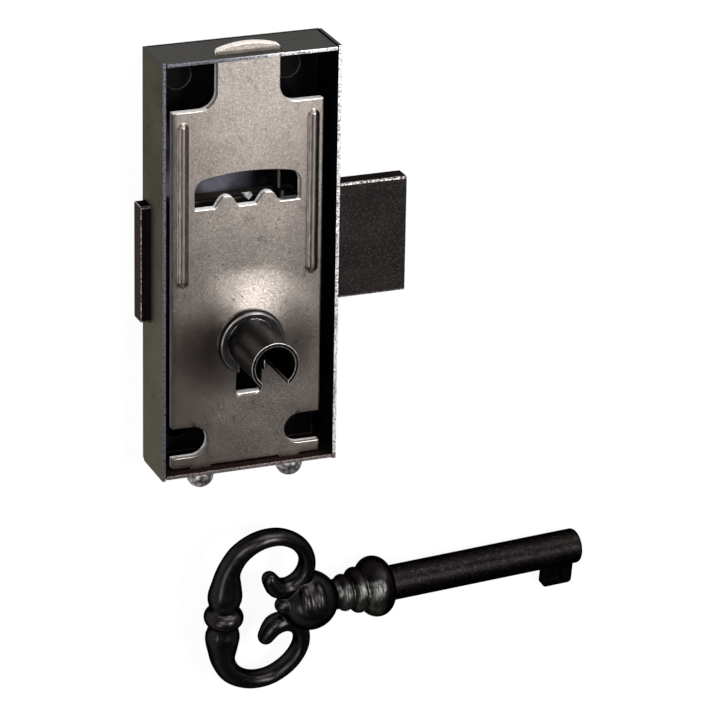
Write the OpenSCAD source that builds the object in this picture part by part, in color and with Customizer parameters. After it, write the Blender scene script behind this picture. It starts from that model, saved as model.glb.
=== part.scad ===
// Rim box lock with a sliding bolt, a slotted key tube and a loose key with a scroll bow.
// The lock lies on its back: +X is the bolt's throw, +Y runs along the case to the tongue's end,
// +Z comes out of the open rim. The origin is the centre of the four screw holes, on the back.

/* [Case] */
// Width of the case, along the bolt's travel
case_w = 30; // [27:0.5:36]
// Height of the case, from end to end
case_h = 71; // [68:0.5:80]
// Depth of the case, from the back to the rim
case_d = 10; // [9:0.25:13]
// Thickness of the case sheet
sheet_t = 0.6; // [0.5:0.05:0.9]
// Inner radius of the folds
fold_r = 0.2; // [0.1:0.05:0.4]
// How far the side walls stand past the end walls
wall_proud = 0.2; // [0.1:0.05:0.4]
// Open seam between an end wall and a side wall
seam = 0.15; // [0.1:0.05:0.3]
// Diameter of a screw hole
screw_hole_d = 4.6; // [3.6:0.1:5]
// Pitch of the screw holes across the case
screw_pitch_x = 18.5; // [17:0.5:20]
// Pitch of the screw holes along the case
screw_pitch_y = 60; // [58:0.5:61]

/* [Cover plate] */
// Width of the plate
cover_w = 25.4; // [24:0.2:26]
// Thickness of the plate
cover_t = 1.5; // [1.2:0.1:1.8]
// How deep the plate lies below the rim
cover_recess = 1.8; // [1.2:0.1:2.4]
// Distance from the case's end to the plate's shoulders
shoulder_drop = 9.1; // [8.5:0.1:10]
// Gap between the plate and the bottom wall
cover_gap = 0.3; // [0.2:0.05:0.6]
// Width of the tongue
tongue_w = 10.6; // [9:0.2:12]
// How far the tongue stands out of the top wall
tongue_out = 1.6; // [1.3:0.05:2.2]
// Radius of the tongue's arched end
tongue_r = 16; // [13:0.5:20]
// Rounding of the tongue's corners
tongue_corner = 0.6; // [0.3:0.1:0.8]
// Radius of the fillet between tongue and shoulder
neck_r = 2.8; // [2:0.1:3.2]
// Gap around the tongue and the tenons in the walls
wall_gap = 0.15; // [0.1:0.05:0.3]
// Margin around a screw hole in the plate's lower notches
notch_margin = 0.3; // [0.2:0.1:0.6]
// Pitch of the two tenons
tenon_pitch = 15.4; // [13:0.2:17]
// Width of a tenon
tenon_w = 3.2; // [2.6:0.1:3.6]
// Radius of a tenon's peened head
peen_r = 2.25; // [2.1:0.05:2.4]
// Straight part of a peened head
peen_straight = 0.75; // [0.4:0.05:1.2]
// Distance of a rib from the plate's middle
rib_x = 11; // [10.6:0.1:11.2]
// Width of a rib
rib_w = 1.8; // [1.4:0.1:2.2]
// Length of a rib
rib_l = 28; // [20:1:29]
// Height of a rib above the plate
rib_h = 0.45; // [0.3:0.05:0.6]
// Middle of a rib along the case
rib_y = 10.9; // [9:0.1:11.5]

/* [Detent window] */
// Lower edge of the window, on which the spring's nose rests
window_y = 9.8; // [9.7:0.1:10.4]
// Height of the window at its middle
window_h = 5.7; // [5.2:0.1:6.2]
// Radius of the window's arched top
window_r = 40; // [30:1:60]
// Rounding of the window's upper corners
window_corner = 2.2; // [0.8:0.1:2.4]
// Width of a bump at its base
bump_w = 3.9; // [3.4:0.1:4]
// Height of a bump
bump_h = 1.85; // [1.4:0.05:2]
// Radius of a bump's top
bump_r = 1.35; // [1:0.05:1.4]

/* [Bolt] */
// Height of the bolt, along the case
bolt_h = 19.8; // [18:0.2:20]
// Thickness of the bolt
bolt_t = 3.4; // [3:0.1:3.8]
// Throw of the bolt, in two turns of the key
throw = 14; // [12:0.5:15]
// How far the bolt's tail stands out of the left wall
tail_out = 1.6; // [1:0.1:2.5]
// Sliding gap around the bolt in the wall slots
bolt_gap = 0.15; // [0.1:0.05:0.25]
// Gap between the bolt and the case's back
bolt_lift = 0.1; // [0.1:0.05:0.25]
// Chamfer along the bolt's long edges
bolt_chamfer = 0.25; // [0.1:0.05:0.4]
// Width of a talon, the notch that the key's bit pushes
talon_w = 5.2; // [4.6:0.1:5.6]
// Depth of a talon
talon_h = 3.7; // [3.2:0.1:4]
// Position of the witness nick on the bolt's upper edge
nick_x = 1.6; // [-3:0.1:4]
// Width of the witness nick
nick_w = 1.3; // [0.8:0.1:1.6]

/* [Detent spring] */
// Thickness of the spring strip
strip_t = 0.5; // [0.4:0.05:0.6]
// Width of the spring's nose across a notch
nose_w = 2.7; // [2.2:0.1:2.8]
// Gap between the nose and the window's lower edge
nose_gap = 0.15; // [0.1:0.05:0.3]
// Bend radius of the hairpin, to the strip's middle
hairpin_r = 2.1; // [1.8:0.1:2.2]
// Height of the hairpin's bend above the bolt
hairpin_h = 6.6; // [6:0.1:8]
// Depth of the spring's foot in the bolt
foot_depth = 3.2; // [2.5:0.1:4]
// Gap between the spring and the plate
spring_gap = 0.3; // [0.2:0.05:0.5]

/* [Guide stud] */
// Position of the stud along the case
stud_y = 1; // [-1:0.1:2]
// Diameter of the stud's body in the bolt's slot
stud_d = 3.8; // [3.4:0.1:4.4]
// Diameter of the stud's head
stud_head_d = 6.5; // [6:0.1:7]
// Thickness of the stud's head
stud_head_t = 1; // [0.7:0.1:1.2]
// Diameter of the stud's riveted tail
stud_tail_d = 3; // [2.4:0.1:3.2]
// Gap between the stud and the bolt
stud_gap = 0.2; // [0.15:0.05:0.3]

/* [Key tube] */
// Position of the key's axis across the case
key_x = 0.35; // [-0.5:0.05:0.5]
// Position of the key's axis along the case
key_y = -13.35; // [-14.5:0.05:-13.3]
// Gap between the key's shank and the tube
key_gap = 0.4; // [0.2:0.05:0.5]
// Wall of the tube
tube_wall = 0.6; // [0.5:0.05:0.8]
// How far the tube stands out of the plate
tube_out = 12.3; // [10:0.1:16]
// Diameter of the tube's collar
collar_d = 11.2; // [10.4:0.1:12]
// Thickness of the tube's collar
collar_t = 1.2; // [0.8:0.1:1.6]
// Gap on either side of the key's bit in the keyhole
bit_gap = 1.2; // [0.3:0.05:1.3]
// How far the keyhole reaches past the bit
keyhole_extra = 2.2; // [1:0.1:3.4]
// Rounding of the keyhole's lower corners
keyhole_corner = 0.5; // [0.2:0.1:0.8]

/* [Key] */
// Diameter of the shank
shank_d = 6; // [5.4:0.1:6.2]
// Length from the bow's knuckle to the shank's tip
key_l = 65.5; // [60:0.5:75]
// Reach of the bit from the shank's axis
bit_reach = 7; // [6:0.1:7.4]
// Width of the bit along the shank
bit_w = 5.5; // [4.4:0.1:5.8]
// Thickness of the bit
bit_t = 1.9; // [1.6:0.1:2.4]
// Rounding of the bit's corners
bit_r = 0.7; // [0.5:0.1:1.4]
// Length of the tip past the bit
tip_l = 0.6; // [0.4:0.1:2]
// Diameter of the key's collar
key_collar_d = 10.4; // [9.4:0.1:11]
// Middle of the key's collar, from the knuckle
key_collar_u = 27.5; // [27:0.1:28.5]
// Half length of the key's collar
key_collar_half = 2.6; // [2.2:0.1:3]
// Diameter of the larger ring on the neck
ring_b_d = 7.9; // [7:0.1:8.6]
// Middle of the larger ring, from the knuckle
ring_b_u = 24.1; // [23.8:0.1:24.4]
// Half length of the larger ring
ring_b_half = 1.2; // [1:0.1:1.4]
// Diameter of the smaller ring on the neck
ring_a_d = 6.4; // [5.6:0.1:7]
// Middle of the smaller ring, from the knuckle
ring_a_u = 21.7; // [21.4:0.1:22]
// Half length of the smaller ring
ring_a_half = 1.1; // [0.9:0.1:1.3]
// Diameter of the neck under the rings
neck_d = 5.2; // [4.6:0.1:5.6]
// Diameter of the ball under the bow
ball_d = 10.2; // [9.4:0.1:10.6]
// Middle of the ball, from the knuckle
ball_u = 15.3; // [15:0.1:15.6]
// Diameter of the bead between the scrolls
bow_bead_d = 3.5; // [3:0.1:3.8]
// Middle of the bead between the scrolls, from the knuckle
bow_bead_u = 11; // [10.6:0.1:11.4]
// Diameter of the knuckle
knuckle_d = 6.7; // [6.2:0.1:7.2]
// Half length of the knuckle
knuckle_half = 1.6; // [1.3:0.1:2]
// Half thickness of the bow
bow_half_t = 1.9; // [1.6:0.1:2.2]
// How deep the shank is pressed in the bow
press_depth = 4; // [3:0.1:4.5]
// Position of the loose key's knuckle, across
lay_x = -3.18; // [-10:0.01:10]
// Position of the loose key's knuckle, along
lay_y = -62.88; // [-80:0.01:-62]
// Turn of the loose key on the floor
lay_yaw = 1.35; // [0:0.05:4]
// Roll of the loose key about its shank
lay_roll = 10; // [0:0.5:12]

/* [Hidden] */
$fn = 64;
e = 0.01;
big = 200;
fold_out = fold_r + sheet_t;
in_w = case_w - 2 * sheet_t;
end_y = case_h / 2 - wall_proud;
end_in = end_y - sheet_t;
hole_x = screw_pitch_x / 2;
hole_y = screw_pitch_y / 2;
cover_top = case_d - cover_recess;
cover_bot = cover_top - cover_t;
cover_mid = (cover_top + cover_bot) / 2;
cover_low = -end_in + cover_gap;
shoulder_y = case_h / 2 - shoulder_drop;
tongue_y = end_y + tongue_out;
tongue_far = tongue_r - tongue_corner;
tongue_cx = tongue_w / 2 - tongue_corner;
tongue_cy = tongue_y - tongue_r + sqrt(tongue_far * tongue_far - tongue_cx * tongue_cx);
tongue_t = tongue_cx * tongue_r / tongue_far;
rib_r = (rib_w * rib_w / 4 + rib_h * rib_h) / (2 * rib_h);
bolt_z0 = sheet_t + bolt_lift;
bolt_z1 = bolt_z0 + bolt_t;
bolt_x0 = -case_w / 2 - tail_out;
bolt_x1 = case_w / 2 + throw;
pitch = throw / 2;
window_half = pitch + bump_w / 2;
corner_x = window_half - window_corner;
corner_far = window_r - window_corner;
corner_y = window_y + window_h - window_r + sqrt(corner_far * corner_far - corner_x * corner_x);
corner_t = corner_x * window_r / corner_far;
stud_x = -pitch;
stud_slot_w = stud_d + 2 * stud_gap;
head_z0 = bolt_z1 + stud_gap;
nose_y = window_y + nose_gap;
leg_l = pitch - nose_w / 2 + strip_t / 2;
leg_r = leg_l + 2 * hairpin_r;
hairpin_y = bolt_h / 2 + hairpin_h;
spring_z0 = bolt_z0 + bolt_gap;
spring_z1 = cover_bot - spring_gap;
nose_z0 = bolt_z1 + spring_gap;
nose_z1 = cover_top - bolt_gap;
nose_top = nose_y + 3 * strip_t;
tube_bore = shank_d + 2 * key_gap;
tube_od = tube_bore + 2 * tube_wall;
tube_top = cover_top + tube_out;
slot_w = bit_t + 2 * bit_gap;
keyhole_reach = bit_reach + keyhole_extra;
press_u = key_collar_u + key_collar_half - press_depth;
lay_tilt = asin((key_collar_d - shank_d) / 2 / (key_l - key_collar_u));
lay_z = key_collar_d / 2 + key_collar_u * sin(lay_tilt);
bump_cy = bump_h - bump_r;
bump_far = sqrt(bump_w * bump_w / 4 + bump_cy * bump_cy);
bump_run = sqrt(bump_far * bump_far - bump_r * bump_r);
bump_dir = atan2(bump_cy, -bump_w / 2) - asin(bump_r / bump_far);
bump_tx = bump_w / 2 + bump_run * cos(bump_dir);
bump_ty = bump_run * sin(bump_dir);

// Middle line of one scroll of the bow: along the key, across it, half width, share of the bow's thickness
scroll_line = [
  [0.0, 0.6, 2.6, 1.2],
  [0.0, 2.2, 2.65, 1.2],
  [0.0, 4.0, 3.05, 1.4],
  [0.1, 6.2, 2.7, 1.25],
  [0.4, 9.0, 2.1, 1.05],
  [2.1, 12.0, 1.85, 1],
  [5.2, 13.9, 1.6, 1],
  [8.6, 14.15, 1.45, 1],
  [11.4, 13.0, 1.4, 1],
  [13.4, 11.1, 1.4, 1],
  [14.5, 8.7, 1.4, 1],
  [14.4, 6.3, 1.5, 1],
  [13.2, 4.3, 1.65, 1],
  [11.2, 3.4, 1.75, 1],
  [9.2, 3.9, 1.75, 1.05],
  [7.95, 5.8, 1.45, 0.85],
];
scroll_steps = 4;
scroll_sides = 14;

// Point of the smooth curve through four neighbours, t from 0 to 1 between the middle two
function curve(a, b, c, d, t) =
  0.5 * (2 * b + (c - a) * t + (2 * a - 5 * b + 4 * c - d) * t * t + (3 * b - a - 3 * c + d) * t * t * t);

// Point of the scroll's line by its index, held at both ends
function held(i) = scroll_line[max(0, min(len(scroll_line) - 1, i))];

// Points along the scroll's line, evenly divided between the given ones
function scroll_points() = [
  for (i = [0 : len(scroll_line) - 2], k = [0 : scroll_steps - 1])
    curve(held(i - 1), held(i), held(i + 1), held(i + 2), k / scroll_steps),
];

// Unit direction between two points in the bow's plane
function heading(a, b) = [b[0] - a[0], b[1] - a[1]] / norm([b[0] - a[0], b[1] - a[1]]);

// Ring of the scroll around a point, with the half sizes scaled for the rounded tip
function ring(p, dir, scale, shift) = [
  for (k = [0 : scroll_sides - 1])
    let (a = 360 * k / scroll_sides, w = p[2] * scale * cos(a))
    [
      p[0] - dir[1] * w + dir[0] * shift,
      p[1] + dir[0] * w + dir[1] * shift,
      bow_half_t * p[3] * scale * sin(a),
    ],
];

// Outline with two rounded lower corners, the open side at height h
module tray_outline(w, h, r) {
  translate([-w / 2, r])
    square([w, h - r]);
  translate([-w / 2 + r, 0])
    square([w - 2 * r, r + e]);
  for (s = [-1, 1])
    translate([s * (w / 2 - r), r])
      circle(r);
}

// Block with folded lower edges on all four sides
module tray_block(w, l, h, r) {
  intersection() {
    rotate([90, 0, 0])
      linear_extrude(l, center = true)
        tray_outline(w, h, r);
    rotate([90, 0, 90])
      linear_extrude(w, center = true)
        tray_outline(l, h, r);
  }
}

// Folded sheet tray with screw holes, bolt slots and the slots for the plate
module case() {
  color([0.28, 0.27, 0.25])
    difference() {
      union() {
        tray_block(case_w, 2 * end_y, case_d, fold_out);
        for (s = [-1, 1])
          translate([s * (case_w - sheet_t) / 2, 0, (case_d + fold_out) / 2])
            cube([sheet_t, case_h, case_d - fold_out], center = true);
      }
      translate([0, 0, sheet_t])
        tray_block(in_w, 2 * end_in, case_d, fold_r);
      for (sx = [-1, 1], sy = [-1, 1])
        translate([sx * (in_w - seam) / 2, sy * (end_y + wall_proud / 2), fold_out + case_d / 2])
          cube([seam, 2 * sheet_t + wall_proud, case_d], center = true);
      for (sx = [-1, 1], sy = [-1, 1])
        translate([sx * hole_x, sy * hole_y, -e])
          cylinder(d = screw_hole_d, h = sheet_t + 2 * e);
      translate([key_x, key_y, -e])
        cylinder(d = tube_bore, h = sheet_t + 2 * e);
      translate([stud_x, stud_y, -e])
        cylinder(d = stud_tail_d, h = sheet_t + 2 * e);
      translate([-case_w, -bolt_h / 2 - bolt_gap, bolt_z0 - bolt_gap])
        cube([2 * case_w, bolt_h + 2 * bolt_gap, bolt_t + 2 * bolt_gap]);
      translate([-tongue_w / 2 - wall_gap, end_in - 1, cover_bot - wall_gap])
        cube([tongue_w + 2 * wall_gap, 3, cover_t + 2 * wall_gap]);
      for (s = [-1, 1])
        translate([s * tenon_pitch / 2 - tenon_w / 2 - wall_gap, -end_in - 2, cover_bot - wall_gap])
          cube([tenon_w + 2 * wall_gap, 3, cover_t + 2 * wall_gap]);
    }
}

// Window with the arched top, the two bumps left standing on its lower edge
module window_outline() {
  difference() {
    intersection() {
      translate([-window_half, window_y])
        square([2 * window_half, window_h]);
      translate([0, window_y + window_h - window_r])
        circle(window_r, $fn = 360);
      union() {
        translate([-window_half, window_y])
          square([2 * window_half, corner_y - window_y]);
        translate([-corner_t, window_y])
          square([2 * corner_t, window_h]);
        for (s = [-1, 1])
          translate([s * corner_x, corner_y])
            circle(window_corner);
      }
    }
    for (s = [-1, 1])
      translate([s * pitch / 2, window_y]) {
        translate([0, bump_cy])
          circle(bump_r);
        polygon([
          [-bump_w / 2, -1],
          [-bump_w / 2, 0],
          [-bump_tx, bump_ty],
          [bump_tx, bump_ty],
          [bump_w / 2, 0],
          [bump_w / 2, -1],
        ]);
      }
  }
}

// Outline of the plate with shoulders, tongue, tenons and all openings
module cover_outline() {
  difference() {
    union() {
      translate([-cover_w / 2, cover_low])
        square([cover_w, shoulder_y - cover_low]);
      intersection() {
        translate([-tongue_t, shoulder_y - 1])
          square([2 * tongue_t, tongue_y - shoulder_y + 2]);
        translate([0, tongue_y - tongue_r])
          circle(tongue_r, $fn = 240);
      }
      translate([-tongue_w / 2, shoulder_y - 1])
        square([tongue_w, tongue_cy - shoulder_y + 1]);
      for (s = [-1, 1])
        translate([s * tongue_cx, tongue_cy])
          circle(tongue_corner);
      difference() {
        translate([-tongue_w / 2 - neck_r, shoulder_y - 1])
          square([tongue_w + 2 * neck_r, neck_r + 1]);
        for (s = [-1, 1])
          translate([s * (tongue_w / 2 + neck_r), shoulder_y + neck_r])
            circle(neck_r);
      }
      for (s = [-1, 1])
        translate([s * tenon_pitch / 2 - tenon_w / 2, -end_y - peen_straight / 2])
          square([tenon_w, end_y + peen_straight / 2 + cover_low + 1]);
    }
    for (s = [-1, 1]) {
      translate([s * hole_x, -hole_y])
        circle(screw_hole_d / 2 + notch_margin);
      translate([s * (hole_x + case_w / 4), -hole_y])
        square([case_w / 2, screw_hole_d + 2 * notch_margin], center = true);
    }
    window_outline();
    translate([key_x, key_y])
      circle(d = tube_od);
    translate([key_x, key_y - keyhole_reach])
      tray_outline(slot_w, keyhole_reach, keyhole_corner);
  }
}

// One raised rib with round ends, cut off at the plate's lower face
module rib() {
  intersection() {
    translate([0, 0, cover_top + rib_h - rib_r])
      union() {
        rotate([90, 0, 0])
          cylinder(r = rib_r, h = rib_l - 2 * rib_r, center = true);
        for (s = [-1, 1])
          translate([0, s * (rib_l / 2 - rib_r), 0])
            sphere(rib_r);
      }
    translate([-rib_w, -rib_l, cover_mid])
      cube([2 * rib_w, 2 * rib_l, cover_t]);
  }
}

// Sunk plate held by its tongue and its two peened tenons
module cover_plate() {
  color([0.55, 0.52, 0.5]) {
    translate([0, 0, cover_bot])
      linear_extrude(cover_t)
        cover_outline();
    for (s = [-1, 1])
      translate([s * rib_x, rib_y, 0])
        rib();
    for (s = [-1, 1])
      translate([s * tenon_pitch / 2, -end_y, cover_mid])
        rotate([90, 0, 0]) {
          cylinder(r = peen_r, h = peen_straight);
          translate([0, 0, peen_straight])
            intersection() {
              sphere(peen_r);
              cylinder(r = 2 * peen_r, h = 2 * peen_r);
            }
        }
  }
}

// Slotted tube with its collar, pressed in the plate
module key_tube() {
  color([0.34, 0.33, 0.33])
    translate([key_x, key_y, 0])
      difference() {
        union() {
          translate([0, 0, cover_bot])
            cylinder(d = tube_od, h = tube_top - cover_bot);
          translate([0, 0, cover_top])
            rotate_extrude() {
              square([collar_d / 2 - collar_t / 2, collar_t]);
              square([collar_d / 2, collar_t / 2]);
              translate([collar_d / 2 - collar_t / 2, collar_t / 2])
                circle(collar_t / 2);
            }
        }
        translate([0, 0, cover_bot - 1])
          cylinder(d = tube_bore, h = tube_top - cover_bot + 2);
        translate([-slot_w / 2, -collar_d, cover_bot - 1])
          cube([slot_w, collar_d, tube_top - cover_bot + 2]);
      }
}

// Stud riveted in the case's back, with the head that holds the bolt down
module guide_stud() {
  color([0.4, 0.39, 0.38])
    translate([stud_x, stud_y, 0]) {
      cylinder(d = stud_tail_d, h = sheet_t + e);
      translate([0, 0, sheet_t])
        cylinder(d = stud_d, h = head_z0 - sheet_t + e);
      translate([0, 0, head_z0])
        cylinder(d = stud_head_d, h = stud_head_t);
    }
}

// Flat bar with chamfered long edges, guide slot, talons, spring slit and nick
module bolt() {
  c = bolt_chamfer;
  h = bolt_h / 2;
  color([0.22, 0.2, 0.2])
    difference() {
      translate([bolt_x0, 0, bolt_z0])
        rotate([90, 0, 90])
          linear_extrude(bolt_x1 - bolt_x0)
            polygon([
              [-h + c, 0],
              [h - c, 0],
              [h, c],
              [h, bolt_t - c],
              [h - c, bolt_t],
              [-h + c, bolt_t],
              [-h, bolt_t - c],
              [-h, c],
            ]);
      translate([stud_x, stud_y - stud_slot_w / 2, bolt_z0 - 1])
        cube([throw, stud_slot_w, bolt_t + 2]);
      for (x = [stud_x, stud_x + throw])
        translate([x, stud_y, bolt_z0 - 1])
          cylinder(d = stud_slot_w, h = bolt_t + 2);
      for (k = [0.5, 1.5])
        translate([key_x + k * pitch, -h, bolt_z0 - 1]) {
          translate([-talon_w / 2, -1, 0])
            cube([talon_w, 1 + talon_h - talon_w / 2, bolt_t + 2]);
          translate([0, talon_h - talon_w / 2, 0])
            cylinder(d = talon_w, h = bolt_t + 2);
        }
      translate([leg_r - strip_t / 2, h - foot_depth, bolt_z0 - 1])
        cube([strip_t, foot_depth + 1, bolt_t + 2]);
      translate([nick_x, h, bolt_z1])
        rotate([0, 0, 45])
          cube([nick_w / sqrt(2), nick_w / sqrt(2), 2 * nick_w], center = true);
    }
}

// Hairpin leaf spring: foot in the bolt, bend, free leg and the nose through the window
module detent_spring() {
  color([0.45, 0.44, 0.43]) {
    translate([leg_r - strip_t / 2, bolt_h / 2 - foot_depth, spring_z0])
      cube([strip_t, foot_depth + e, bolt_z1 - bolt_gap - spring_z0]);
    translate([leg_r - strip_t / 2, bolt_h / 2, spring_z0])
      cube([strip_t, hairpin_h + e, spring_z1 - spring_z0]);
    translate([leg_l + hairpin_r, hairpin_y, spring_z0])
      difference() {
        cylinder(r = hairpin_r + strip_t / 2, h = spring_z1 - spring_z0);
        translate([0, 0, -1])
          cylinder(r = hairpin_r - strip_t / 2, h = spring_z1 - spring_z0 + 2);
        translate([-big / 2, -big, -1])
          cube([big, big, spring_z1 - spring_z0 + 2]);
      }
    translate([leg_l - strip_t / 2, nose_top, spring_z0])
      cube([strip_t, hairpin_y - nose_top + e, spring_z1 - spring_z0]);
    translate([leg_l - strip_t / 2, nose_y + strip_t, nose_z0])
      cube([strip_t, nose_top - nose_y - strip_t + e, nose_z1 - nose_z0]);
    translate([leg_l + strip_t / 2, nose_y, nose_z0])
      cube([nose_w - strip_t, strip_t, nose_z1 - nose_z0]);
    translate([leg_l + strip_t / 2, nose_y + strip_t, nose_z0])
      intersection() {
        cylinder(r = strip_t, h = nose_z1 - nose_z0);
        translate([-2 * strip_t, -2 * strip_t, 0])
          cube([2 * strip_t, 2 * strip_t, nose_z1 - nose_z0]);
      }
  }
}

// Lays the key on the floor, on its collar and its tip
module lay_key() {
  translate([lay_x, lay_y, lay_z])
    rotate([lay_roll, lay_tilt, lay_yaw])
      children();
}

// One scroll of the bow as a closed skin with a rounded tip
module scroll() {
  pts = scroll_points();
  n = len(pts);
  last = held(len(scroll_line) - 1);
  end_dir = heading(pts[n - 1], last);
  body = [
    for (i = [0 : n - 1])
      ring(pts[i], heading(pts[max(0, i - 1)], i == n - 1 ? last : pts[i + 1]), 1, 0),
  ];
  tip = [for (a = [0, 25, 45, 62, 76]) ring(last, end_dir, cos(a), last[2] * sin(a))];
  rings = concat(body, tip);
  count = len(rings);
  s = scroll_sides;
  faces = concat(
    [[for (k = [0 : s - 1]) k]],
    [
      for (i = [0 : count - 2], k = [0 : s - 1])
        [i * s + k, (i + 1) * s + k, i * s + (k + 1) % s],
    ],
    [
      for (i = [0 : count - 2], k = [0 : s - 1])
        [i * s + (k + 1) % s, (i + 1) * s + k, (i + 1) * s + (k + 1) % s],
    ],
    [[for (k = [0 : s - 1]) count * s - 1 - k]]
  );
  polyhedron(points = [for (r = rings, p = r) p], faces = faces, convexity = 6);
}

// Half outline of a ring of rounded section: middle along the axis, outer radius, half length
module ring_outline(u, r, half) {
  translate([0, u - half])
    square([r - half, 2 * half]);
  intersection() {
    translate([r - half, u])
      circle(half);
    translate([0, u - half])
      square([r, 2 * half]);
  }
}

// Ball, neck, rings and collar turned about the key's axis in one piece
module spine() {
  rotate([0, 90, 0])
    rotate_extrude()
      union() {
        intersection() {
          translate([0, ball_u])
            circle(d = ball_d);
          translate([0, ball_u - ball_d])
            square([ball_d, 2 * ball_d]);
        }
        translate([0, ball_u])
          square([neck_d / 2, key_collar_u - ball_u]);
        ring_outline(ring_a_u, ring_a_d / 2, ring_a_half);
        ring_outline(ring_b_u, ring_b_d / 2, ring_b_half);
        ring_outline(key_collar_u, key_collar_d / 2, key_collar_half);
      }
}

// Cast bow: two scrolls, knuckle, bead and spine, with the bore for the shank
module key_bow() {
  color([0.1, 0.09, 0.09])
    lay_key()
      difference() {
        union() {
          scroll();
          mirror([0, 1, 0])
            scroll();
          rotate([-90, 0, 0])
            rotate_extrude()
              ring_outline(0, knuckle_d / 2, knuckle_half);
          translate([bow_bead_u, 0, 0])
            sphere(d = bow_bead_d);
          spine();
        }
        translate([press_u, 0, 0])
          rotate([0, 90, 0])
            cylinder(d = shank_d, h = 2 * press_depth);
      }
}

// Round shank with the bit near its tip
module key_shank() {
  u1 = key_l - tip_l;
  color([0.12, 0.11, 0.11])
    lay_key() {
      translate([press_u, 0, 0])
        rotate([0, 90, 0])
          rotate_extrude()
            polygon([
              [0, 0],
              [shank_d / 2, 0],
              [shank_d / 2, key_l - press_u - 0.4],
              [shank_d / 2 - 0.4, key_l - press_u],
              [0, key_l - press_u],
            ]);
      translate([0, 0, -bit_t / 2])
        linear_extrude(bit_t) {
          translate([u1 - bit_w, -bit_reach + bit_r])
            square([bit_w, bit_reach - bit_r]);
          translate([u1 - bit_w + bit_r, -bit_reach])
            square([bit_w - 2 * bit_r, bit_r + e]);
          for (x = [u1 - bit_w + bit_r, u1 - bit_r])
            translate([x, -bit_reach + bit_r])
              circle(bit_r);
        }
    }
}

case();
cover_plate();
key_tube();
guide_stud();
bolt();
detent_spring();
key_bow();
key_shank();
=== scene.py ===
"""Looks of the rim box lock and of the loose key that lies below it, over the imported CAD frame."""

import math

import bpy
from mathutils import Euler, Matrix, Vector


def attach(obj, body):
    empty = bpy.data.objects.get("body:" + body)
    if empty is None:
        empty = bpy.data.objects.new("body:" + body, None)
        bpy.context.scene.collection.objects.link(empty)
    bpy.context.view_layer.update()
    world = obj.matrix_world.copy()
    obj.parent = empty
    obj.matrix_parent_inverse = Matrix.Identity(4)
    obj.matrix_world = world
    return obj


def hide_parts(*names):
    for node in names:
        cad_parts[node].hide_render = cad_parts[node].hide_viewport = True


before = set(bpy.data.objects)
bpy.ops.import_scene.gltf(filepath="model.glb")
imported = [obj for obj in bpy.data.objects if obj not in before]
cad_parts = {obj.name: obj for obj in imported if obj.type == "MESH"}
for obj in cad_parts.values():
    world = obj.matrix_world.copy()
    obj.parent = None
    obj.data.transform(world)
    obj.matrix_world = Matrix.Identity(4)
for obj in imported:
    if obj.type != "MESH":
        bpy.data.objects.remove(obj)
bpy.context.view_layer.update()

MM = 0.001

# Camera, in metres and degrees
CAMERA_PLACE = (-0.22846, 0.25210, 0.62543)
CAMERA_TURN = (-22.604, -21.493, 1.070)
CAMERA_LENS = 220.17
CAMERA_SENSOR = 36.0

# Lock, in millimetres
SHEET = 0.6
CASE_SIDE = 15.0
CASE_END = 35.3
CASE_END_INSIDE = CASE_END - SHEET
CASE_RIM = 10.0
PLATE_UNDER = 6.7
PLATE_TOP = 8.2
RIB_PLACE = 11.0
TUBE_PLACE = (0.35, -13.35)
TUBE_R = 4.0
BOLT_TAIL = -16.6
BOLT_EDGE = 9.9
NICK_PLACE = 1.6

# The plate drawn up round the tube, by distances from the tube's axis
BOSS_RISE = 0.8
BOSS_OUTER = 13.0
BOSS_INNER = 3.0
BOSS_FOOT = -11.0
BOSS_FULL = 3.0

# Key, in millimetres along it, across it and up, and in degrees
KEY_PLACE = (-3.18, -62.88, 6.792)
KEY_TURN = (10.0, 3.319, 1.35)
BEAD_FRONT = 9.0
BEAD_ALONG = 11.0
BEAD_HALF_WIDTH = 1.3
BEAD_HALF_HEIGHT = 1.8
BEAD_KEPT = 0.6
BALL_ALONG = 15.3
BALL_R = 5.1
PETAL_ROUND = (53.0, 233.0)
PETAL_BACK = (-25.0, 6.0)
PETAL_HALF_WIDTH = 1.4
PETAL_REACH = 2.9
PETAL_DEPTH = 1.8
PETAL_PROUD = 0.42
BUD_PLACE = (11.2, 0.55, 0.75)
BUD_HALF = (2.3, 1.7, 1.75)
RINGS_FROM = 20.0
RINGS_TO = 27.8
# Direction across the key and up that places the rings' painted shade and painted highlight band.
PAINTED_SIDE_ACROSS = 0.824
PAINTED_SIDE_UP = -0.536

# Skin of the cast bow; its bars lie beside the key's axis and, further back, outside the ball
BOW_VOXEL = 0.13
BOW_SMOOTHINGS = 14
BOW_FACES = 90000
BARS_BESIDE = 3.3
BARS_BEFORE = 10.5
BARS_ROUND_BALL = 5.3
BARS_SMOOTHINGS = 70

# Meshes: points merged within millimetres, flats and edges told by degrees
MERGED_WITHIN = 0.002
FLAT_WITHIN = 0.3
BROKEN_FROM = 32.0
SMOOTH_BELOW = 40.0

# Studio: the floor's width in metres and its drop in millimetres, and the world's strengths
FLOOR_WIDTH = 6.0
FLOOR_DROP = 0.03
WORLD_LIGHT = 0.8
WORLD_OVERHEAD = 0.08


# Camera, at the photograph's place

def set_camera():
    """Long lens above the upper left of the lock, looking down on its mounting side."""
    data = bpy.data.cameras.new("camera")
    data.sensor_width = CAMERA_SENSOR
    data.lens = CAMERA_LENS
    data.clip_start = 0.01
    data.clip_end = 50
    camera = bpy.data.objects.new("camera", data)
    camera.location = CAMERA_PLACE
    camera.rotation_euler = [math.radians(a) for a in CAMERA_TURN]
    bpy.context.scene.collection.objects.link(camera)
    bpy.context.scene.camera = camera


# Shader maths

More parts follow.
